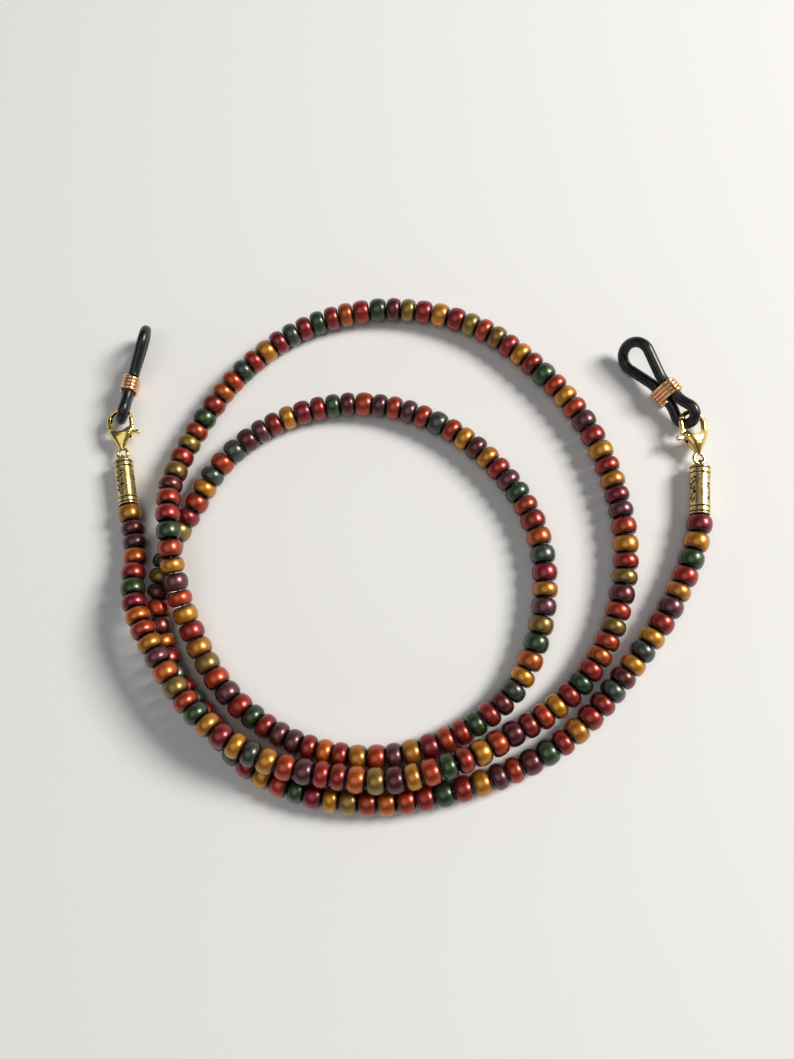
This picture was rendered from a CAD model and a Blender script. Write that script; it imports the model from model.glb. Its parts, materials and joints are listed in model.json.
import json
import math

import bmesh
import bpy
import numpy as np
from mathutils import Matrix, Vector


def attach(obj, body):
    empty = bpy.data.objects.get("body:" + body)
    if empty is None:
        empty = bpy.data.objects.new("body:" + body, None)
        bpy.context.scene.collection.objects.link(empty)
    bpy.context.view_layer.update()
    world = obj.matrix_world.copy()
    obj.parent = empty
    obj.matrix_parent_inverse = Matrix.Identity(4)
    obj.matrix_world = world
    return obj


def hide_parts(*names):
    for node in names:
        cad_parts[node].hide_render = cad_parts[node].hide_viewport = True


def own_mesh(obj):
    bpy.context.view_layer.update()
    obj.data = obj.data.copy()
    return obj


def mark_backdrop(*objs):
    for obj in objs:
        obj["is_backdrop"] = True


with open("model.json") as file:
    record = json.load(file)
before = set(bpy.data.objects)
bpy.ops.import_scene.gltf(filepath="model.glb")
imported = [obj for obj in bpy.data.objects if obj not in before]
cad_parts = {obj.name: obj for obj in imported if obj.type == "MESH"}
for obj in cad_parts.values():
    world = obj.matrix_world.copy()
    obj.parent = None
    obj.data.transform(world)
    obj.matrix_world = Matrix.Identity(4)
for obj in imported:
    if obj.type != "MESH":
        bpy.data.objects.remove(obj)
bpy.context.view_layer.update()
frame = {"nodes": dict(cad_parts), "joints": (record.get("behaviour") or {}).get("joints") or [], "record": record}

MM = 0.001
ENDS = ("left", "right")
JOINTS = {joint["name"]: joint for joint in frame["joints"]}
MOUNTS = {mount["name"]: mount for mount in frame["record"]["mounts"]}
X, Y, Z = Vector((1, 0, 0)), Vector((0, 1, 0)), Vector((0, 0, 1))


# ---------------------------------------------------------------- camera

CAMERA_AT = Vector((0.0171, -0.0361, 0.1504))
CAMERA_AIM = Vector((0.001, 0.002, 0))
CAMERA_UP = Vector((-0.035, 1, 0))
CAMERA_LENS = 29.75
CAMERA_NEAR = 0.005


def add_camera():
    """A camera above the strap, a little in front of it and to the right."""
    ahead = (CAMERA_AIM - CAMERA_AT).normalized()
    right = ahead.cross(CAMERA_UP).normalized()
    up = right.cross(ahead)
    data = bpy.data.cameras.new("camera")
    data.lens = CAMERA_LENS
    data.clip_start = CAMERA_NEAR
    camera = bpy.data.objects.new("camera", data)
    turn = Matrix((right, up, -ahead)).transposed().to_4x4()
    camera.matrix_world = Matrix.Translation(CAMERA_AT) @ turn
    bpy.context.collection.objects.link(camera)
    bpy.context.scene.camera = camera


# ---------------------------------------------------------------- the strand's line

# The strand's route from the left tube to the right one: x, y, and the height of the
# strand above a bead that lies on the surface.
ROUTE = [
    (-0.0482, 0.0055, 0), (-0.0468, 0.001, 0), (-0.0456, -0.004, 0.0006),
    (-0.0449, -0.009, 0.0021), (-0.043, -0.0145, 0.0038), (-0.039, -0.021, 0.0046),
    (-0.0325, -0.0295, 0.0046), (-0.025, -0.0355, 0.0045), (-0.017, -0.039, 0.0035),
    (-0.008, -0.0405, 0.0031), (0.001, -0.041, 0.0031), (0.008, -0.0395, 0.003),
    (0.013, -0.0376, 0.0026), (0.017, -0.0357, 0.0016), (0.0205, -0.0335, 0.0006),
    (0.027, -0.0295, 0), (0.034, -0.0225, 0), (0.039, -0.012, 0), (0.0405, -0.001, 0),
    (0.039, 0.009, 0), (0.0345, 0.0205, 0), (0.026, 0.0315, 0), (0.014, 0.0405, 0),
    (-0.002, 0.044, 0), (-0.0175, 0.0405, 0), (-0.03, 0.0305, 0), (-0.0365, 0.02, 0.0002),
    (-0.039, 0.013, 0.0013), (-0.0396, 0.008, 0.0028), (-0.039, 0.003, 0.0042),
    (-0.038, -0.003, 0.0043), (-0.0369, -0.009, 0.0028), (-0.0343, -0.0165, 0.0006),
    (-0.027, -0.0275, 0), (-0.0145, -0.0355, 0), (-0.001, -0.0375, 0), (0.012, -0.0335, 0),
    (0.0215, -0.026, 0), (0.0265, -0.013, 0), (0.025, 0.003, 0), (0.019, 0.0125, 0),
    (0.0075, 0.0215, 0), (-0.005, 0.025, 0), (-0.0195, 0.0225, 0), (-0.031, 0.014, 0),
    (-0.036, 0.005, 0), (-0.04, -0.004, 0), (-0.0405, -0.014, 0), (-0.0365, -0.0245, 0),
    (-0.0295, -0.0325, 0), (-0.023, -0.039, 0), (-0.0125, -0.0435, 0), (0, -0.0445, 0),
    (0.0145, -0.0415, 0), (0.0295, -0.034, 0), (0.0415, -0.0205, 0), (0.0485, -0.0095, 0),
    (0.053, 0.0045, 0)]
BEAD_D = 4.4
BEAD_BORE = 1.4
WIRE_D = 0.4
# How far up a tube its crimp holds the wire.
CRIMP_AT = 5.7

LINE = [Vector((x, y, lift + BEAD_D / 2 * MM)) for x, y, lift in ROUTE]
CHORDS = [(b - a).length for a, b in zip(LINE, LINE[1:])]
STEPS = [(b - a) / chord for a, b, chord in zip(LINE, LINE[1:], CHORDS)]


def tangent(i):
    """The strand's direction at a point of its route, in line with the tube at each end."""
    if i == 0:
        return -Vector(JOINTS["left_tube_spin"]["axis"])
    if i == len(STEPS):
        return Vector(JOINTS["right_tube_spin"]["axis"])
    before, after = CHORDS[i - 1], CHORDS[i]
    return (STEPS[i] * before + STEPS[i - 1] * after) / (before + after)


def on_span(i, t):
    """The point at share t of span i of the strand."""
    return ((2 * t**3 - 3 * t**2 + 1) * LINE[i] + (t**3 - 2 * t**2 + t) * CHORDS[i] * tangent(i)
            + (3 * t**2 - 2 * t**3) * LINE[i + 1] + (t**3 - t**2) * CHORDS[i] * tangent(i + 1))


# ---------------------------------------------------------------- places on each end

def frame_of(origin, x, y, z):
    """The matrix that takes millimetres about a piece's own origin to the frame's metres."""
    turn = Matrix((x, y, z)).transposed().to_4x4()
    return Matrix.Translation(Vector(origin)) @ turn @ Matrix.Scale(MM, 4)


def tube_frame(end):
    """Origin at the tube's open end, Z along the tube towards the clasp."""
    spin = JOINTS[end + "_tube_spin"]
    z = Vector(spin["axis"])
    x = z.cross(Z).normalized()
    return frame_of(spin["pos_m"], x, z.cross(x), z)


def clasp_frame(end):
    """Origin at the wire loop, Y along the clasp, Z square to its flat side."""
    swing = JOINTS[end + "_clasp_swing"]
    x, z = Vector(swing["axis"]), Vector(JOINTS[end + "_lever_press"]["axis"])
    return frame_of(swing["pos_m"], x, z.cross(x), z)


def hook_frame(end):
    """Origin at the wire loop, Y along the tube, Z across the two wires."""
    swing = JOINTS[end + "_clasp_swing"]
    y = Vector(JOINTS[end + "_tube_spin"]["axis"])
    x = y.cross(Vector(JOINTS[end + "_lever_press"]["axis"])).normalized()
    return frame_of(swing["pos_m"], x, y, x.cross(y))


def rubber_frame(end):
    """Origin on the clasp's bar, Y along the rubber, Z square to the loop's flat side."""
    y = Vector(JOINTS[end + "_coil_slide"]["axis"])
    z = Vector(MOUNTS[end + "_temple_loop"]["axis"])
    z = (z - y * z.dot(y)).normalized()
    if end == "right":
        z = -z
    return frame_of(JOINTS[end + "_loop_swing"]["pos_m"], y.cross(z), y, z)


# ---------------------------------------------------------------- mesh building

def grid_faces(rows, columns, closed_rows=False):
    """Quads between rows of points, where each row goes round."""
    pairs = [(i, (i + 1) % rows) for i in range(rows if closed_rows else rows - 1)]
    return [(a * columns + k, a * columns + (k + 1) % columns,
             b * columns + (k + 1) % columns, b * columns + k)
            for a, b in pairs for k in range(columns)]


def add_piece(name, points, faces, material, place=None, marks=None):
    """A smooth mesh from points and faces. Marks are named values, one per point."""
    mesh = bpy.data.meshes.new(name)
    mesh.from_pydata([tuple(p) for p in points], [], faces)
    for label, values in (marks or {}).items():
        layer = mesh.attributes.new(label, "FLOAT", "POINT")
        layer.data.foreach_set("value", np.asarray(values, np.float32))
    if place is not None:
        mesh.transform(place)
    mesh.polygons.foreach_set("use_smooth", [True] * len(mesh.polygons))
    mesh.update()
    piece = bpy.data.objects.new(name, mesh)
    bpy.context.collection.objects.link(piece)
    if material is not None:
        mesh.materials.append(material)
    return piece


def face_outward(piece):
    """Turns the faces of a closed mesh so that they all look out."""
    shell = bmesh.new()
    shell.from_mesh(piece.data)
    bmesh.ops.recalc_face_normals(shell, faces=shell.faces)
    shell.to_mesh(piece.data)
    shell.free()
    return piece


def rings_along(line, radii, sides, closed=False):
    """Rings of points square to a line, turned as little as possible from ring to ring."""
    line = np.asarray(line, float)
    if closed:
        ahead = np.roll(line, -1, 0) - np.roll(line, 1, 0)
    else:
        ahead = np.gradient(line, axis=0)
    ahead /= np.linalg.norm(ahead, axis=1)[:, None]
    side = np.cross(ahead[0], (0.31, 0.17, 0.94))
    around = np.linspace(0, 2 * math.pi, sides, endpoint=False)
    rings = []
    for centre, way, radius in zip(line, ahead, radii):
        side = side - way * side.dot(way)
        side /= np.linalg.norm(side)
        other = np.cross(way, side)
        rings.append(centre + radius * (np.outer(np.cos(around), side)
                                        + np.outer(np.sin(around), other)))
    return np.array(rings)


def add_rings(name, rings, material, closed=False, place=None):
    """A skin over rings of points, with a flat face on each end ring unless it is closed."""
    count, sides = rings.shape[:2]
    faces = grid_faces(count, sides, closed)
    if not closed:
        faces.append(tuple(range(sides))[::-1])
        faces.append(tuple((count - 1) * sides + k for k in range(sides)))
    return face_outward(add_piece(name, rings.reshape(-1, 3), faces, material, place))


def add_tube(name, line, radii, material, sides, closed=False, place=None):
    """A round tube along a line, with domed ends unless it is closed."""
    line = np.asarray(line, float)
    radii = np.full(len(line), radii) if np.isscalar(radii) else np.asarray(radii, float)
    if not closed:
        line, radii = with_domes(line, radii)
    return add_rings(name, rings_along(line, radii, sides, closed), material, closed, place)


DOME_SHARES = (0.12, 0.55, 0.85, 0.97)
DOME_DEPTH = 0.3


def with_domes(line, radii):
    """The same line with a low dome of shrinking rings added inside each end."""
    ends = []
    for end, inner in ((0, 1), (-1, -2)):
        back = line[inner] - line[end]
        back /= np.linalg.norm(back)
        depth = radii[end] * DOME_DEPTH
        ends.append([(line[end] + back * depth * (1 - math.sqrt(1 - s * s)), radii[end] * s)
                     for s in DOME_SHARES])
    first, last = ends[0], ends[1][::-1]
    line = np.array([p for p, _ in first] + list(line[1:-1]) + [p for p, _ in last])
    radii = np.array([r for _, r in first] + list(radii[1:-1]) + [r for _, r in last])
    return line, radii


ARC_STEP = 0.15


def steps_along(length):
    """How many points a line of this length takes, at about ARC_STEP apart."""
    return max(3, int(length / ARC_STEP))


def arc_points(centre, radius, start, sweep):
    """Points of an arc in the XY plane, from a start angle over a sweep, in degrees."""
    count = steps_along(abs(math.radians(sweep)) * radius)
    angles = np.radians(start + sweep * np.linspace(0, 1, count))
    return [(centre[0] + radius * math.cos(a), centre[1] + radius * math.sin(a), 0)
            for a in angles]


def fused(parts, voxel, cutters, smoothing):
    """Melts overlapping closed parts into one cast shape, cuts it, and softens its edges."""
    body = parts[0]
    bpy.ops.object.select_all(action="DESELECT")
    for part in parts:
        part.select_set(True)
    bpy.context.view_layer.objects.active = body
    bpy.ops.object.join()
    remesh(body, voxel)
    for cutter in cutters:
        cut = body.modifiers.new("cut", "BOOLEAN")
        cut.operation, cut.object, cut.solver = "DIFFERENCE", cutter, "EXACT"
        bpy.ops.object.modifier_apply(modifier="cut")
        bpy.data.objects.remove(cutter)
    remesh(body, voxel)
    soften = body.modifiers.new("soften", "SMOOTH")
    soften.factor, soften.iterations = 0.5, smoothing
    bpy.ops.object.modifier_apply(modifier="soften")
    return body


def remesh(body, voxel):
    """Rebuilds a closed mesh as one skin of faces about a voxel wide."""
    melt = body.modifiers.new("melt", "REMESH")
    melt.mode, melt.voxel_size, melt.use_smooth_shade = "VOXEL", voxel, True
    bpy.ops.object.modifier_apply(modifier="melt")


HOLLOW_ROUNDS = 6


def mark_hollows(piece):
    """Writes to each point how hollow the surface is there, 0 on a crest and 1 in a groove.
    A point lies in a hollow where it is lower than its neighbours, averaged a few times."""
    mesh = piece.data
    count = len(mesh.vertices)
    points, normals = np.zeros(count * 3), np.zeros(count * 3)
    mesh.vertices.foreach_get("co", points)
    mesh.vertices.foreach_get("normal", normals)
    points, normals = points.reshape(-1, 3), normals.reshape(-1, 3)
    edges = np.zeros(len(mesh.edges) * 2, int)
    mesh.edges.foreach_get("vertices", edges)
    a, b = edges.reshape(-1, 2).T
    share = np.bincount(np.concatenate([a, b]), minlength=count)[:, None]
    far = points.copy()
    for _ in range(HOLLOW_ROUNDS):
        total = np.zeros_like(far)
        np.add.at(total, a, far[b])
        np.add.at(total, b, far[a])
        far = total / share
    height = ((far - points) * normals).sum(1)
    spread = np.percentile(np.abs(height), 95) + 1e-12
    hollow = np.clip(0.5 + 0.5 * height / spread, 0, 1)
    layer = mesh.attributes.new("hollow", "FLOAT", "POINT")
    layer.data.foreach_set("value", hollow.astype(np.float32))


# ---------------------------------------------------------------- materials

# The colour sockets of a Mix node, which share their names with its other sockets.
MIX_FACTOR, MIX_FIRST, MIX_SECOND, MIX_RESULT = 0, 6, 7, 2


class Finish:
    """A material, and short ways to add and join its nodes."""

    def __init__(self, name):
        self.material = bpy.data.materials.new(name)
        self.material.use_nodes = True
        self.nodes = self.material.node_tree.nodes
        self.links = self.material.node_tree.links
        self.surface = self.nodes["Principled BSDF"]

    def add(self, kind, settings=None, **inputs):
        """A new node with its settings, and its inputs set or joined."""
        node = self.nodes.new(kind)
        for name, value in (settings or {}).items():
            setattr(node, name, value)
        for name, value in inputs.items():
            self.feed(node, name.replace("_", " "), value)
        return node

    def feed(self, node, key, value):
        """Joins another node's output to an input, or sets the input to a value."""
        socket = node.inputs[key]
        if isinstance(value, bpy.types.NodeSocket):
            self.links.new(value, socket)
        else:
            socket.default_value = value

    def place(self):
        """Where on the piece a point lies, in metres."""
        return self.add("ShaderNodeTexCoord").outputs["Object"]

    def noise(self, scale, detail=3.0, roughness=0.55):
        """Soft noise from 0 to 1, with scale waves to the metre."""
        node = self.add("ShaderNodeTexNoise", Scale=scale, Detail=detail, Roughness=roughness,
                        Vector=self.place())
        return node.outputs["Fac"]

    def mark(self, label):
        """The value that the mesh holds for each point under this name."""
        return self.add("ShaderNodeAttribute", {"attribute_name": label}).outputs["Fac"]

    def ramp(self, value, low, high, start=0.0, end=1.0):
        """The value stretched from low..high to start..end."""
        node = self.add("ShaderNodeMapRange", Value=value, From_Min=low, From_Max=high,
                        To_Min=start, To_Max=end)
        return node.outputs["Result"]

    def mix(self, share, first, second):
        """One colour that turns into another as the share goes from 0 to 1."""
        node = self.add("ShaderNodeMix", {"data_type": "RGBA"})
        for index, value in ((MIX_FACTOR, share), (MIX_FIRST, first), (MIX_SECOND, second)):
            self.feed(node, index, value)
        return node.outputs[MIX_RESULT]

    def combine(self, operation, first, second):
        """Arithmetic on two values."""
        node = self.add("ShaderNodeMath", {"operation": operation})
        self.feed(node, 0, first)
        self.feed(node, 1, second)
        return node.outputs[0]

    def bump(self, height, distance, strength=1.0):
        """Small relief on the surface; distance is its height in metres."""
        node = self.add("ShaderNodeBump", Height=height, Distance=distance, Strength=strength)
        self.links.new(node.outputs["Normal"], self.surface.inputs["Normal"])

    def set(self, **values):
        """Sets or joins the surface shader's own inputs."""
        for name, value in values.items():
            self.feed(self.surface, name.replace("_", " "), value)


def rgb(red, green, blue):
    """A colour given as it looks, 0 to 1, for a shader's colour socket."""
    def linear(c):
        return c / 12.92 if c <= 0.04045 else ((c + 0.055) / 1.055) ** 2.4
    return (linear(red), linear(green), linear(blue), 1)


# Each colour as it looks: red, green and blue from 0 to 1.
BEAD_COLOURS = {
    "gold": (0.80, 0.53, 0.10), "amber": (0.78, 0.38, 0.06), "orange": (0.71, 0.24, 0.07),
    "red": (0.62, 0.15, 0.09), "maroon": (0.55, 0.11, 0.14), "plum": (0.40, 0.14, 0.13),
    "violet": (0.41, 0.21, 0.23), "green": (0.22, 0.31, 0.17), "slate": (0.28, 0.31, 0.26),
    "olive": (0.58, 0.46, 0.16)}
# How much of each colour is left where the glaze is deep, and at the bore's dark rim.
DEEP = (0.72, 0.66, 0.7)
DARK = (0.36, 0.32, 0.34)


def darker(colour, shares):
    """A colour with its red, green and blue cut down to their shares."""
    return rgb(*(part * share for part, share in zip(colour, shares)))


def bead_glass(colour):
    """Opaque glass under a satin metallic coat, dark towards the bore and a little mottled."""
    finish = Finish(colour + "_glass")
    look = BEAD_COLOURS[colour]
    # A shade deeper in small patches, and by a share of its own for each bead.
    mottle = finish.ramp(finish.noise(1100, 4), 0.3, 0.75)
    tone = finish.combine("MULTIPLY", finish.mark("tone"), 0.55)
    shade = finish.combine("ADD", finish.combine("MULTIPLY", mottle, 0.3), tone)
    glaze = finish.mix(shade, rgb(*look), darker(look, DEEP))
    edge = finish.ramp(finish.mark("rim"), 0.5, 0.95)
    finish.set(Base_Color=finish.mix(edge, glaze, darker(look, DARK)), Metallic=0.75, IOR=1.55,
               Roughness=finish.ramp(finish.noise(2600, 2), 0.2, 0.8, 0.32, 0.44),
               Coat_Weight=0.7, Coat_Roughness=0.24)
    finish.bump(finish.noise(5200, 3), 0.00002, 0.35)
    return finish.material


def nylon_wire():
    """Bronze-coloured beading wire under a thin nylon skin."""
    finish = Finish("beading_wire")
    tint = finish.mix(finish.ramp(finish.noise(3000, 3), 0.35, 0.7), rgb(0.52, 0.46, 0.36),
                      rgb(0.36, 0.32, 0.26))
    finish.set(Base_Color=tint, Metallic=0.7, Coat_Weight=0.5, Coat_Roughness=0.2,
               Roughness=finish.ramp(finish.noise(6000, 2), 0.3, 0.7, 0.25, 0.42))
    finish.bump(finish.noise(9000, 2), 0.00001, 0.3)
    return finish.material


# Each metal's bright, dull and dark colour, the range of its roughness, and how hollow a
# place is where it starts to darken.
METALS = {
    "antique_metal": ((0.90, 0.81, 0.57), (0.75, 0.62, 0.38), (0.16, 0.10, 0.05),
                      (0.2, 0.38), 0.62),
    "clasp_metal": ((0.95, 0.83, 0.52), (0.89, 0.74, 0.41), (0.40, 0.28, 0.11),
                    (0.12, 0.26), 0.75),
    "pin_metal": ((0.88, 0.72, 0.36), (0.74, 0.58, 0.26), (0.3, 0.2, 0.08), (0.18, 0.34), 0.8),
    "crimp_metal": ((0.78, 0.70, 0.48), (0.62, 0.54, 0.34), (0.25, 0.2, 0.1), (0.24, 0.4), 0.8),
    "spring_steel": ((0.74, 0.74, 0.75), (0.55, 0.55, 0.56), (0.2, 0.2, 0.2), (0.2, 0.34), 0.8),
    "copper_wire": ((0.96, 0.79, 0.61), (0.88, 0.64, 0.45), (0.40, 0.19, 0.10),
                    (0.14, 0.3), 0.62)}


def metal(name):
    """Plated metal: bright on the crests, dull in patches and dark in the hollows."""
    bright, dull, dark, roughness, tarnish = METALS[name]
    finish = Finish(name)
    patches = finish.ramp(finish.noise(700, 5, 0.6), 0.42, 0.72)
    plating = finish.mix(patches, rgb(*bright), rgb(*dull))
    hollow = finish.ramp(finish.mark("hollow"), tarnish, 1.0)
    scratches = finish.ramp(finish.noise(3000, 4, 0.65), 0.3, 0.75, *roughness)
    rough = finish.combine("ADD", scratches, finish.combine("MULTIPLY", hollow, 0.3))
    finish.set(Base_Color=finish.mix(hollow, plating, rgb(*dark)), Metallic=1.0,
               Roughness=rough)
    finish.bump(finish.noise(4800, 3), 0.00001, 0.3)
    return finish.material


def black_rubber():
    """Satin black rubber with a faint bloom."""
    finish = Finish("black_rubber")
    tint = finish.mix(finish.ramp(finish.noise(900, 4), 0.4, 0.75), rgb(0.02, 0.021, 0.024),
                      rgb(0.05, 0.052, 0.057))
    finish.set(Base_Color=tint, IOR=1.52,
               Roughness=finish.ramp(finish.noise(1800, 3), 0.3, 0.75, 0.26, 0.42))
    finish.bump(finish.noise(4500, 4), 0.00002, 0.4)
    return finish.material


def make_finishes():
    """Every material of the part, by the record's slot."""
    made = {colour + "_glass": bead_glass(colour) for colour in BEAD_COLOURS}
    made["beading_wire"] = nylon_wire()
    made.update({name: metal(name) for name in METALS})
    made["black_rubber"] = black_rubber()
    return made


# ---------------------------------------------------------------- beading wire

def add_beading_wire(finishes):
    """The wire through all the beads, from the crimp in one tube to the one in the other."""
    starts = [JOINTS[end + "_tube_spin"] for end in ENDS]
    inside = [Vector(j["pos_m"]) + Vector(j["axis"]) * CRIMP_AT * MM for j in starts]
    points = [inside[0], *LINE, inside[1]]
    ways = [LINE[0] - inside[0], *[tangent(i) for i in range(len(LINE))], inside[1] - LINE[-1]]
    curve = bpy.data.curves.new("beading_wire_strand", "CURVE")
    curve.dimensions = "3D"
    curve.bevel_depth = WIRE_D / 2 * MM
    curve.bevel_resolution = 2
    curve.resolution_u = 10
    spline = curve.splines.new("BEZIER")
    spline.bezier_points.add(len(points) - 1)
    for i, knot in enumerate(spline.bezier_points):
        way = ways[i].normalized() if i in (0, len(points) - 1) else ways[i]
        before = (points[i] - points[max(i - 1, 0)]).length
        after = (points[min(i + 1, len(points) - 1)] - points[i]).length
        knot.co = points[i]
        knot.handle_left = points[i] - way * before / 3
        knot.handle_right = points[i] + way * after / 3
    wire = bpy.data.objects.new("beading_wire_strand", curve)
    bpy.context.collection.objects.link(wire)
    curve.materials.append(finishes["beading_wire"])
    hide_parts("beading_wire")
    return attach(wire, "strand")


# ---------------------------------------------------------------- beads

BEAD_SIDES = 36
BEAD_CORNER = 0.12
BEAD_FACE_R = 1.3
BEAD_FULLNESS = 2.05
# How far a bead may lean on the wire, in radians, and how much smaller it may be.
BEAD_TILT = 0.045
BEAD_SHRINK = 0.035
SPAN_STEPS = 12


def fine_strand():
    """Points close together along the strand, and its direction at each."""
    shares = np.linspace(0, 1, SPAN_STEPS)
    points = np.array([on_span(i, t) for i in range(len(CHORDS)) for t in shares])
    ahead = np.gradient(points, axis=0)
    keep = np.linalg.norm(ahead, axis=1) > 0
    return points[keep], ahead[keep] / np.linalg.norm(ahead[keep], axis=1)[:, None]


def solids_of(node):
    """The points of each separate solid in a CAD node, in metres."""
    shell = bmesh.new()
    shell.from_mesh(frame["nodes"][node].data)
    bmesh.ops.remove_doubles(shell, verts=shell.verts, dist=1e-6)
    shell.verts.ensure_lookup_table()
    seen, solids = set(), []
    for first in shell.verts:
        if first.index in seen:
            continue
        seen.add(first.index)
        waiting, found = [first], []
        while waiting:
            vertex = waiting.pop()
            found.append(tuple(vertex.co))
            for edge in vertex.link_edges:
                other = edge.other_vert(vertex)
                if other.index not in seen:
                    seen.add(other.index)
                    waiting.append(other)
        solids.append(np.array(found))
    shell.free()
    return solids


def bead_profile(length):
    """The bead's section: a full round side, a flat face with a soft corner, and the bore."""
    half, bore = length / 2, BEAD_BORE / 2
    bulge = BEAD_D / 2 - BEAD_FACE_R
    corner = bore + BEAD_CORNER
    around = np.linspace(-math.pi / 2, math.pi / 2, 21)
    out = np.abs(np.cos(around)) ** (2 / BEAD_FULLNESS)
    along = np.sign(around) * np.abs(np.sin(around)) ** (2 / BEAD_FULLNESS)
    points = list(zip(BEAD_FACE_R + bulge * out, half * along))
    top = [(corner - BEAD_CORNER * math.sin(a), half - BEAD_CORNER * (1 - math.cos(a)))
           for a in np.linspace(0, math.pi / 2, 5)]
    bottom = [(r, -z) for r, z in reversed(top)]
    return np.array(points + top + bottom)


def bead_points(length, dice):
    """One bead about its own centre, with its bore along Z; no two are quite alike."""
    profile = bead_profile(length)
    around = np.linspace(0, 2 * math.pi, BEAD_SIDES, endpoint=False)
    lean = dice.uniform(0, 2 * math.pi)
    shrink = 1 - dice.uniform(0, BEAD_SHRINK) * (0.6 + 0.4 * np.cos(around - lean))
    radius = np.where(profile[:, :1] > BEAD_BORE, profile[:, :1] * shrink, profile[:, :1])
    points = np.stack([radius * np.cos(around), radius * np.sin(around),
                       np.repeat(profile[:, 1:], BEAD_SIDES, axis=1)], axis=2)
    return points.reshape(-1, 3)


def add_beads(colour, finishes, strand, seed):
    """All the beads of one colour, each where the frame has it."""
    dice = np.random.default_rng(seed)
    line, ahead = strand
    points, faces, tones, rims = [], [], [], []
    for solid in solids_of(colour + "_beads"):
        middle = (solid.min(0) + solid.max(0)) / 2
        way = ahead[np.linalg.norm(line - middle, axis=1).argmin()]
        reach = (solid - middle) @ way
        length = round((reach.max() - reach.min()) / MM, 1)
        turn = Vector(way).to_track_quat("Z", "Y").to_matrix()
        for axis in ("X", "Y"):
            turn = turn @ Matrix.Rotation(dice.uniform(-BEAD_TILT, BEAD_TILT), 3, axis)
        local = bead_points(length, dice)
        faces += [tuple(len(points) + i for i in face) for face in
                  grid_faces(len(local) // BEAD_SIDES, BEAD_SIDES, True)]
        points += list(middle + local @ np.array(turn).T * MM)
        tones += [dice.random()] * len(local)
        rims += list(np.abs(local[:, 2]) / (length / 2))
    piece = add_piece(colour + "_bead_group", points, faces, finishes[colour + "_glass"],
                      marks={"tone": tones, "rim": rims})
    face_outward(piece)
    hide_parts(colour + "_beads")
    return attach(piece, "strand")


# ---------------------------------------------------------------- tube bead

TUBE_LENGTH = 8.7
TUBE_R = 1.75
TUBE_BORE_R = 0.85
TUBE_SIDES = 160
TUBE_ROWS = 200
TUBE_EDGE = 0.12
BORE_EDGE = 0.1
# The grooves' distances from each end, and how deep and half as wide they are.
GROOVES = (0.45, 1.35)
GROOVE_DEPTH = 0.22
GROOVE_HALF = 0.13
# The barrel between the grooves lies a little lower than the bands beside them.
BARREL_START = 1.5
BARREL_DROP = 0.07
ENGRAVED = 0.11
BORE_TARNISH = 0.9
# How far each tube is turned about its length, in degrees.
TUBE_TURN = {"left": 10, "right": -30}


def hump(x, half):
    """1 at the middle and 0 from half onwards, with a soft edge."""
    return np.clip(1 - (x / half) ** 2, 0, 1) ** 0.8


def tube_relief(around, along):
    """How deep the tube's surface lies under its full radius, by angle and height."""
    from_end = np.minimum(along, TUBE_LENGTH - along)
    depth = sum(GROOVE_DEPTH * hump(from_end - groove, GROOVE_HALF) for groove in GROOVES)
    depth = depth + BARREL_DROP * np.clip((from_end - BARREL_START) / TUBE_EDGE, 0, 1)
    depth = depth + TUBE_EDGE * np.clip(1 - from_end / TUBE_EDGE, 0, 1) ** 2
    return np.maximum(depth, BARREL_DROP + vine(around, along))


# The leaves of a chased sprig: the height on the stem, the hand, the lean in degrees, the
# length and the width. No two are alike, as the tool was struck by hand.
LEAVES = ((-1.9, 1, 35, 0.5, 0.16), (-1.55, -1, 55, 0.42, 0.2), (-0.85, -1, 30, 0.55, 0.14),
          (-0.6, 1, 62, 0.38, 0.22), (0.05, 1, 28, 0.6, 0.15), (0.3, -1, 48, 0.46, 0.2),
          (0.95, -1, 66, 0.4, 0.17), (1.25, 1, 40, 0.52, 0.19), (1.85, -1, 24, 0.44, 0.13),
          (2.05, 1, 70, 0.3, 0.2))
LEAF_OUT = 0.42
STEM_REACH = 2.3
STEM_HALF = 0.07
# The stem's sway to each side, its wave in radians per millimetre, and its depth as a
# share of a leaf's.
STEM_WAVE = 0.14
STEM_WAVES = 2.4
STEM_SHARE = 0.7
SPRIGS = 3


def vine(around, along):
    """A chased sprig on each of three sides: a thin stem with leaves along it."""
    cut = np.full(around.shape, -BARREL_DROP)
    up = along - TUBE_LENGTH / 2
    for side in range(SPRIGS):
        across = (around - side * 2 * math.pi / SPRIGS + math.pi) % (2 * math.pi) - math.pi
        across = across * TUBE_R + STEM_WAVE * np.sin(up * STEM_WAVES)
        stem = hump(across, STEM_HALF) * (np.abs(up) < STEM_REACH)
        cut = np.maximum(cut, ENGRAVED * STEM_SHARE * np.where(stem > 0, stem, -1))
        for height, hand, lean, length, width in LEAVES:
            u, v, a = up - height, hand * across - LEAF_OUT, math.radians(lean)
            long = (u * math.cos(a) + v * math.sin(a)) / length
            wide = (v * math.cos(a) - u * math.sin(a)) / width
            leaf = 1 - long**2 - wide**2
            cut = np.maximum(cut, ENGRAVED * np.where(leaf > 0, np.sqrt(np.abs(leaf)), -1))
    return cut


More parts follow.
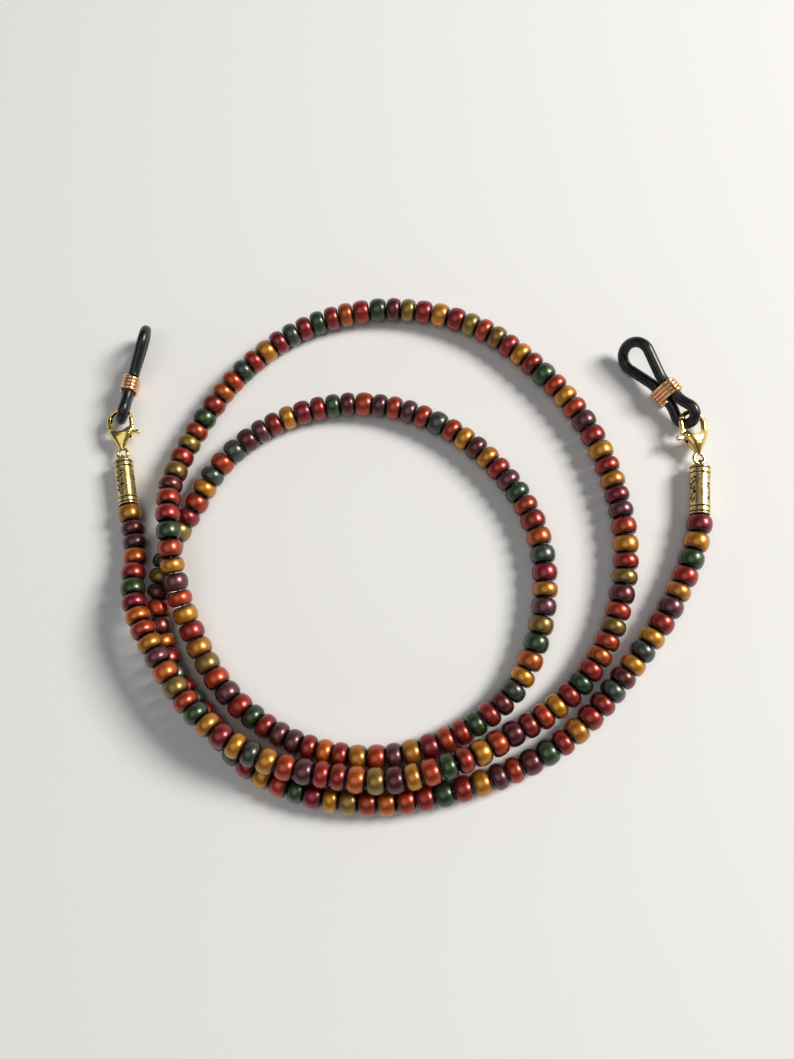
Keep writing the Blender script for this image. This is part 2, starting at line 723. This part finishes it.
def add_tube_bead(end, finishes):
    """The tube's engraved outside and its plain bore, as one grid that closes on itself."""
    around = np.linspace(0, 2 * math.pi, TUBE_SIDES, endpoint=False)[None, :]
    along = np.linspace(0, TUBE_LENGTH, TUBE_ROWS)[:, None]
    around, along = np.broadcast_arrays(around, along)
    depth = tube_relief(around - math.radians(TUBE_TURN[end]), along)
    radius = TUBE_R - depth
    outer = np.stack([radius * np.cos(around), radius * np.sin(around), along], axis=2)
    wide = TUBE_BORE_R + BORE_EDGE
    bore = [(wide, TUBE_LENGTH), (TUBE_BORE_R, TUBE_LENGTH - BORE_EDGE),
            (TUBE_BORE_R, BORE_EDGE), (wide, 0)]
    inner = [np.stack([radius * np.cos(around[0]), radius * np.sin(around[0]),
                       np.full(TUBE_SIDES, height)], axis=1) for radius, height in bore]
    points = np.concatenate([outer, np.array(inner)]).reshape(-1, 3)
    faces = grid_faces(TUBE_ROWS + len(bore), TUBE_SIDES, True)
    hollow = np.concatenate([np.clip(depth / ENGRAVED, 0, 1).ravel(),
                             np.full(len(bore) * TUBE_SIDES, BORE_TARNISH)])
    piece = add_piece(end + "_engraved_tube", points, faces, finishes["antique_metal"],
                      tube_frame(end), {"hollow": hollow})
    face_outward(piece)
    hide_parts(end + "_tube_bead")
    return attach(piece, end + "_tube")


# ---------------------------------------------------------------- clasp

RING_R = 0.94
RING_WIRE_R = 0.32
# The closed tube bridges the last few degrees of the ring by itself.
RING_SWEEP = 354
ARCH_Y = 7.4
ARCH_R = 2.1
ARM_R = 0.47
ARM_TAPER = 0.03
ARM_SHOULDER = 0.07
# Where along the arm it is thickest, and how far that reaches, as shares of its length.
SHOULDER_AT = 0.06
SHOULDER_WIDE = 0.12
PIN = (1.75, 4.95)
PIN_R = 0.25
# The angles on the arch where the claw and the lever end, in degrees from the lever's side.
CLAW_END = 23
LEVER_END = 16.5
EYE_R = 1.66
EYE_DROP = 0.65
SLOT_HALF = 0.425
POCKET_X = 0.5
POCKET_R = 0.36
CUT_REACH = 3
WEDGE_SIDES = 40
WEDGE_FULLNESS = 2.5
BODY_VOXEL = 0.05
LEVER_VOXEL = 0.045

LEVER_HALF = 0.35
BOSS_R = 0.6
SHANK_HALF = 0.36
SHANK_TOP = 6.3
STEM_END = 3.05
KNOB_X = 3.12
KNOB_DROP = 0.14
KNOB_R = 0.42
PIN_PLAY = 0.03

# The wedge's outline from the ring to the shoulders: distance, half width, half thickness.
WEDGE = ((1.62, 0.34, 0.3), (1.9, 0.46, 0.42), (2.3, 0.66, 0.56), (2.9, 1.0, 0.76),
         (3.5, 1.4, 0.93), (4.2, 1.84, 1.06), (4.8, 2.2, 1.1), (5.3, 2.42, 1.04),
         (5.7, 2.5, 0.86), (5.95, 2.42, 0.62))


def squircle(half_width, half_thick, y):
    """A ring of points with flat sides and round corners, across the clasp at y."""
    around = np.linspace(0, 2 * math.pi, WEDGE_SIDES, endpoint=False)
    x, z = np.cos(around), np.sin(around)
    x = np.sign(x) * np.abs(x) ** (2 / WEDGE_FULLNESS) * half_width
    z = np.sign(z) * np.abs(z) ** (2 / WEDGE_FULLNESS) * half_thick
    return np.stack([x, np.full(WEDGE_SIDES, y), z], axis=1)


def add_wedge():
    """The clasp's solid middle, which widens from the ring to the two shoulders."""
    return add_rings("wedge", np.array([squircle(w, t, y) for y, w, t in WEDGE]), None)


def add_block(name, low, high):
    """A plain block, used only to cut with."""
    corners = [(x, y, z) for x in (low[0], high[0]) for y in (low[1], high[1])
               for z in (low[2], high[2])]
    faces = [(0, 1, 3, 2), (4, 6, 7, 5), (0, 4, 5, 1), (2, 3, 7, 6), (0, 2, 6, 4), (1, 5, 7, 3)]
    return face_outward(add_piece(name, corners, faces, None))


def add_rod(name, start, end, radius):
    """A straight round bar without a finish, to fuse or to cut with."""
    return add_tube(name, [start, np.add(start, end) / 2, end], radius, None, 32)


def add_bore(name, x, y, radius, half):
    """A rod through the clasp's flat side, half as long each way from its middle."""
    return add_rod(name, (x, y, -half), (x, y, half), radius)


def arch_line():
    """The fixed arm and claw, from inside the wedge over the arch to the claw's end."""
    foot = [(-1.72, 4.9, 0), (-1.83, 5.4, 0), (-1.96, 6.1, 0), (-2.06, 6.9, 0)]
    return foot + arc_points((0, ARCH_Y), ARCH_R, 180, CLAW_END - 180)


def add_clasp_body(end, finishes):
    """The cast body: ring, wedge and claw, cut open for the lever, its pin and its spring."""
    line = arch_line()
    share = np.linspace(0, 1, len(line))
    swell = np.exp(-((share - SHOULDER_AT) / SHOULDER_WIDE) ** 2)
    radii = ARM_R - ARM_TAPER * share + ARM_SHOULDER * swell
    parts = [add_wedge(), add_tube("arm", line, radii, None, 32),
             add_tube("ring", arc_points((0, RING_R), RING_R, 0, RING_SWEEP), RING_WIRE_R,
                      None, 28, closed=True)]
    cutters = [add_bore("opening", 0, ARCH_Y - EYE_DROP, EYE_R, CUT_REACH),
               add_block("slot", (0.2, 3.85, -SLOT_HALF), (4, 8, SLOT_HALF)),
               add_bore("pin_hole", *PIN, PIN_R, CUT_REACH),
               add_rod("pocket", (POCKET_X, 3.2, 0), (POCKET_X, 4.4, 0), POCKET_R)]
    body = fused(parts, BODY_VOXEL, cutters, 5)
    return set_cast(body, end + "_cast_clasp", end, "clasp_metal", end + "_clasp_body",
                    end + "_clasp", finishes)


def set_cast(body, name, end, slot, node, rider, finishes):
    """Names a cast piece, sets it in place on its end, and gives it its finish."""
    body.name = name
    body.data.name = name
    body.data.materials.clear()
    body.data.materials.append(finishes[slot])
    mark_hollows(body)
    body.data.transform(clasp_frame(end))
    body.data.update()
    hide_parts(node)
    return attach(body, rider)


def add_plate(name, outline, half_thick):
    """A flat plate with the given outline, in the clasp's own plane."""
    count = len(outline)
    points = [(x, y, z) for z in (-half_thick, half_thick) for x, y in outline]
    faces = [tuple(range(count))[::-1], tuple(range(count, 2 * count))]
    faces += [(k, (k + 1) % count, count + (k + 1) % count, count + k) for k in range(count)]
    return face_outward(add_piece(name, points, faces, None))


def lever_plates():
    """The outlines of the lever's flat half: boss, shank, knob stem and nose."""
    x, y = PIN
    boss = [(x + BOSS_R * math.cos(a), y + BOSS_R * math.sin(a))
            for a in np.linspace(0, 2 * math.pi, 32, endpoint=False)]
    shank = [(x - 0.45, y), (x + BOSS_R, y), (ARCH_R + SHANK_HALF, SHANK_TOP),
             (ARCH_R - SHANK_HALF, SHANK_TOP)]
    stem = [(x, y - 0.36), (STEM_END, y - 0.36), (STEM_END, y + 0.08), (x, y + 0.32)]
    nose = [(x, y - 0.4), (x, y + 0.2), (0.75, 4.65), (0.6, 4.3)]
    return boss, shank, stem, nose


def add_lever(end, finishes):
    """The cast lever: flat plates and a knob about the pin, and a round bar to the claw."""
    x, y = PIN
    parts = [add_plate("plate", outline, LEVER_HALF) for outline in lever_plates()]
    parts.append(add_bore("knob", KNOB_X, y - KNOB_DROP, KNOB_R, LEVER_HALF))
    line = [(ARCH_R, 5.9, 0), (ARCH_R, 6.4, 0), (ARCH_R, 7.0, 0)]
    line += arc_points((0, ARCH_Y), ARCH_R, 0, LEVER_END)
    parts.append(add_tube("bar", line, np.linspace(0.4, 0.42, len(line)), None, 28))
    cutters = [add_bore("pin_hole", x, y, PIN_R + PIN_PLAY, 2)]
    body = fused(parts, LEVER_VOXEL, cutters, 3)
    return set_cast(body, end + "_cast_lever", end, "clasp_metal", end + "_lever",
                    end + "_gate", finishes)


PIN_HALF = 1.08
PIN_SIDES = 32
# The dome of a peened end: its radius at heights over the end of the pin's half length.
PIN_DOME = ((0.02, 0.06), (0.12, 0.05), (0.2, 0.02), (0.245, -0.05))


def add_rivet(end, finishes):
    """The lever's pin, with a low dome at each end where it was peened over."""
    dome = [(r, PIN_HALF + rise) for r, rise in PIN_DOME]
    profile = [(r, -z) for r, z in dome] + [(r, z) for r, z in reversed(dome)]
    around = np.linspace(0, 2 * math.pi, PIN_SIDES, endpoint=False)
    rings = np.array([[(r * math.cos(a), r * math.sin(a), z) for a in around]
                      for r, z in profile])
    place = clasp_frame(end) @ Matrix.Translation((*PIN, 0))
    piece = add_rings(end + "_rivet", rings, finishes["pin_metal"], place=place)
    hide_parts(end + "_lever_pin")
    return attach(piece, end + "_clasp")


SPRING_TURNS = 6
SPRING_FOOT = 3.23
SPRING_TOP = 4.24
SPRING_R = 0.25
SPRING_WIRE_R = 0.07
SPRING_INSET = 0.08


def add_spring(end, finishes):
    """The small spring under the lever's nose; it shortens as the lever is pressed."""
    turns = np.linspace(0, SPRING_TURNS, SPRING_TURNS * 20)
    rise = SPRING_TOP - SPRING_FOOT - 2 * SPRING_INSET
    heights = SPRING_FOOT + SPRING_INSET + turns / SPRING_TURNS * rise
    around = turns * 2 * math.pi
    line = np.stack([POCKET_X + SPRING_R * np.cos(around), heights,
                     SPRING_R * np.sin(around)], axis=1)
    place = clasp_frame(end)
    piece = add_tube(end + "_spring_coil", line, SPRING_WIRE_R, finishes["spring_steel"], 10,
                     place=place)
    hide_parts(end + "_lever_spring")
    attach(piece, end + "_clasp")
    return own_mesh(piece)


# ---------------------------------------------------------------- wire loop

LOOP_R = 0.57
WIRE_PAIR = 0.45
LOOP_FOOT = -1.45
LOOP_START = -3.5
# How far the loop's arc goes past a half turn at each end, in radians.
LOOP_OVER = 0.17
# How the two wires draw together from the loop to the pair, in even steps along it.
LOOP_NECK = (0.08, 0.27, 0.52, 0.78, 0.94)


def add_wire_loop(end, finishes):
    """The wire's end: out of the crimp, round the clasp's ring and back."""
    leg = WIRE_PAIR / 2
    up = [(0, y, leg) for y in np.linspace(LOOP_START, LOOP_FOOT, 12)]
    down = [(0, y, -leg) for y in np.linspace(LOOP_FOOT, LOOP_START, 12)]
    bend = [(0, LOOP_R * math.sin(a), LOOP_R * math.cos(a))
            for a in np.linspace(-LOOP_OVER, math.pi + LOOP_OVER, 26)]
    heights = np.linspace(LOOP_FOOT, bend[0][1], len(LOOP_NECK) + 2)[1:-1]
    first = [(0, y, leg + (bend[0][2] - leg) * s) for y, s in zip(heights, LOOP_NECK)]
    last = [(0, y, -z) for _, y, z in reversed(first)]
    line = up + first + bend + last + down
    piece = add_tube(end + "_wire_end", line, WIRE_D / 2, finishes["beading_wire"], 14,
                     place=hook_frame(end))
    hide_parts(end + "_wire_loop")
    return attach(piece, "strand")


# ---------------------------------------------------------------- rubber loop and coil

RUBBER_R = 0.95
# Half the distance between the two legs, which lie side by side inside the coil.
LEG = 1.0
LEG_LENGTH = 3.6
SMALL_R = 1.8
SMALL_REACH = 3.2
SMALL_BEND = 4
LARGE_R = 2.65
LARGE_REACH = 6.6
LARGE_BEND = 5
# Where the two pieces of the rubber meet, inside the coil, and how far they overlap.
SEAM = 6.45
SEAM_LAP = 0.05


def lobe(radius, reach, bend):
    """One side of a lobe, from the straight leg at y = 0 to the round end's middle."""
    turn = math.degrees(math.atan2(reach, bend + LEG)
                        - math.acos((bend + radius) / math.hypot(bend + LEG, reach)))
    foot = arc_points((LEG + bend, 0), bend, 180, -turn)
    head = arc_points((0, reach), radius, -turn, 90 + turn)
    steps = steps_along(math.dist(foot[-1], head[0]))
    straight = [tuple(p) for p in np.linspace(foot[-1], head[0], steps)][1:-1]
    return np.array(foot + straight + head)


def half_loop(radius, reach, bend, start):
    """A lobe with both its legs; start is how far down the legs it begins."""
    side = lobe(radius, reach, bend)
    leg = [(LEG, y, 0) for y in np.linspace(-start, 0, steps_along(start))][:-1]
    right = np.concatenate([np.array(leg).reshape(-1, 3), side])
    left = right[::-1][1:] * (-1, 1, 1)
    return np.concatenate([right, left])


def add_rubber_loop(end, finishes):
    """Two pieces that meet inside the coil: the small lobe, and the large one that narrows
    as the coil slides up."""
    place = rubber_frame(end)
    small = half_loop(SMALL_R, SMALL_REACH, SMALL_BEND, SEAM - SMALL_REACH + SEAM_LAP)
    small = small * (1, -1, 1) + (0, SMALL_REACH, 0)
    large = half_loop(LARGE_R, LARGE_REACH, LARGE_BEND, SMALL_REACH + LEG_LENGTH - SEAM)
    large = large + (0, SMALL_REACH + LEG_LENGTH, 0)
    small_piece = add_tube(end + "_rubber_small_lobe", small, RUBBER_R,
                           finishes["black_rubber"], 32, place=place)
    large_piece = add_tube(end + "_rubber_large_lobe", large, RUBBER_R,
                           finishes["black_rubber"], 32, place=place)
    for piece in (small_piece, large_piece):
        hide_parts(end + "_rubber_loop")
        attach(piece, end + "_loop")
    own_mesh(large_piece)


COIL_WIRE = 0.64
COIL_INSIDE_R = 1.02
COIL_START = 3.27
COIL_PITCH = 0.655
COIL_TURNS = 4.2
COIL_STEPS = 72
# Where on its oval each coil's wire starts, as a share of a turn.
COIL_PHASE = {"left": 0.1, "right": 0.6}


def oval_point(share, radius):
    """A point of the coil's oval, by its share of one turn."""
    straight, bend = 2 * LEG, math.pi * radius
    s = (share % 1) * 2 * (straight + bend)
    if s < straight:
        return LEG - s, radius
    s -= straight
    if s < bend:
        a = math.pi / 2 + s / radius
        return -LEG + radius * math.cos(a), radius * math.sin(a)
    s -= bend
    if s < straight:
        return -LEG + s, -radius
    a = -math.pi / 2 + (s - straight) / radius
    return LEG + radius * math.cos(a), radius * math.sin(a)


def add_wire_coil(end, finishes):
    """The copper wire wound in an oval coil round both legs of the rubber."""
    radius = COIL_INSIDE_R + COIL_WIRE / 2
    line = []
    for turn in np.linspace(0, COIL_TURNS, int(COIL_TURNS * COIL_STEPS)):
        x, z = oval_point(turn + COIL_PHASE[end], radius)
        line.append((x, COIL_START + COIL_WIRE / 2 + turn * COIL_PITCH, z))
    piece = add_tube(end + "_coil_wire", line, COIL_WIRE / 2, finishes["copper_wire"], 18,
                     place=rubber_frame(end))
    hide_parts(end + "_wire_coil")
    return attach(piece, end + "_slider")


# ---------------------------------------------------------------- room

FLOOR_HALF = 1.0
FLOOR_STEPS = 8

# Each lamp's place, width in metres, power in watts and tint.
LAMPS = {"window": ((0.8, 0.3, 0.64), 0.34, 14.4, (1, 0.98, 0.95)),
         "fill": ((-0.1, -0.1, 0.6), 0.5, 0.8, (0.96, 0.98, 1))}

# The room's light by height, as the sine of the angle above the horizon.
WALL_TOP = 0.12
CEILING = 0.5
WALL_LIGHT = 0.78
CEILING_LIGHT = 0.08


def add_floor():
    """A plain pale surface under the strap."""
    row = FLOOR_STEPS + 1
    ticks = np.linspace(-FLOOR_HALF, FLOOR_HALF, row)
    points = [(x, y, 0) for y in ticks for x in ticks]
    faces = [(j * row + i, j * row + i + 1, (j + 1) * row + i + 1, (j + 1) * row + i)
             for j in range(FLOOR_STEPS) for i in range(FLOOR_STEPS)]
    finish = Finish("floor")
    finish.set(Base_Color=rgb(0.9, 0.895, 0.885), Roughness=0.9)
    floor = add_piece("floor", points, faces, finish.material)
    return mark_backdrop(floor)


def add_light(name, place, size, power, tint):
    """A square soft lamp that looks at the middle of the strap."""
    data = bpy.data.lights.new(name, "AREA")
    data.size, data.energy, data.color = size, power, tint
    lamp = bpy.data.objects.new(name, data)
    lamp.location = place
    lamp.rotation_euler = (-Vector(place)).to_track_quat("-Z", "Y").to_euler()
    bpy.context.collection.objects.link(lamp)


def add_world():
    """A pale room: bright walls that fade to a dim ceiling."""
    world = bpy.data.worlds.new("studio")
    world.use_nodes = True
    nodes, links = world.node_tree.nodes, world.node_tree.links
    background = nodes["Background"]
    background.inputs["Color"].default_value = rgb(0.95, 0.96, 0.98)
    split = nodes.new("ShaderNodeSeparateXYZ")
    links.new(nodes.new("ShaderNodeTexCoord").outputs["Generated"], split.inputs[0])
    fade = nodes.new("ShaderNodeMapRange")
    fade.interpolation_type = "SMOOTHSTEP"
    for name, value in (("From Min", WALL_TOP), ("From Max", CEILING), ("To Min", WALL_LIGHT),
                        ("To Max", CEILING_LIGHT)):
        fade.inputs[name].default_value = value
    links.new(split.outputs["Z"], fade.inputs["Value"])
    links.new(fade.outputs["Result"], background.inputs["Strength"])
    bpy.context.scene.world = world


def add_room():
    """The floor, the light of the room and its two soft lamps."""
    add_floor()
    add_world()
    for name, (place, size, power, tint) in LAMPS.items():
        add_light(name, place, size, power, tint)
    bpy.context.scene.view_settings.view_transform = "Standard"


# ---------------------------------------------------------------- the strap

def dress_crimp(end, finishes):
    """The crimp keeps its own shape; only its finish is new."""
    data = frame["nodes"][end + "_crimp"].data
    data.materials.clear()
    data.materials.append(finishes["crimp_metal"])


def build():
    """The camera and the cord with its beads first, then each end, and the room last."""
    add_camera()
    finishes = make_finishes()
    wire = add_beading_wire(finishes)
    strand = fine_strand()
    beads = [add_beads(colour, finishes, strand, seed)
             for seed, colour in enumerate(BEAD_COLOURS)]
    loops = [add_wire_loop(end, finishes) for end in ENDS]
    for end in ENDS:
        dress_crimp(end, finishes)
        add_tube_bead(end, finishes)
        add_clasp_body(end, finishes)
        add_lever(end, finishes)
        add_rivet(end, finishes)
        add_spring(end, finishes)
        add_rubber_loop(end, finishes)
        add_wire_coil(end, finishes)
    add_room()


build()
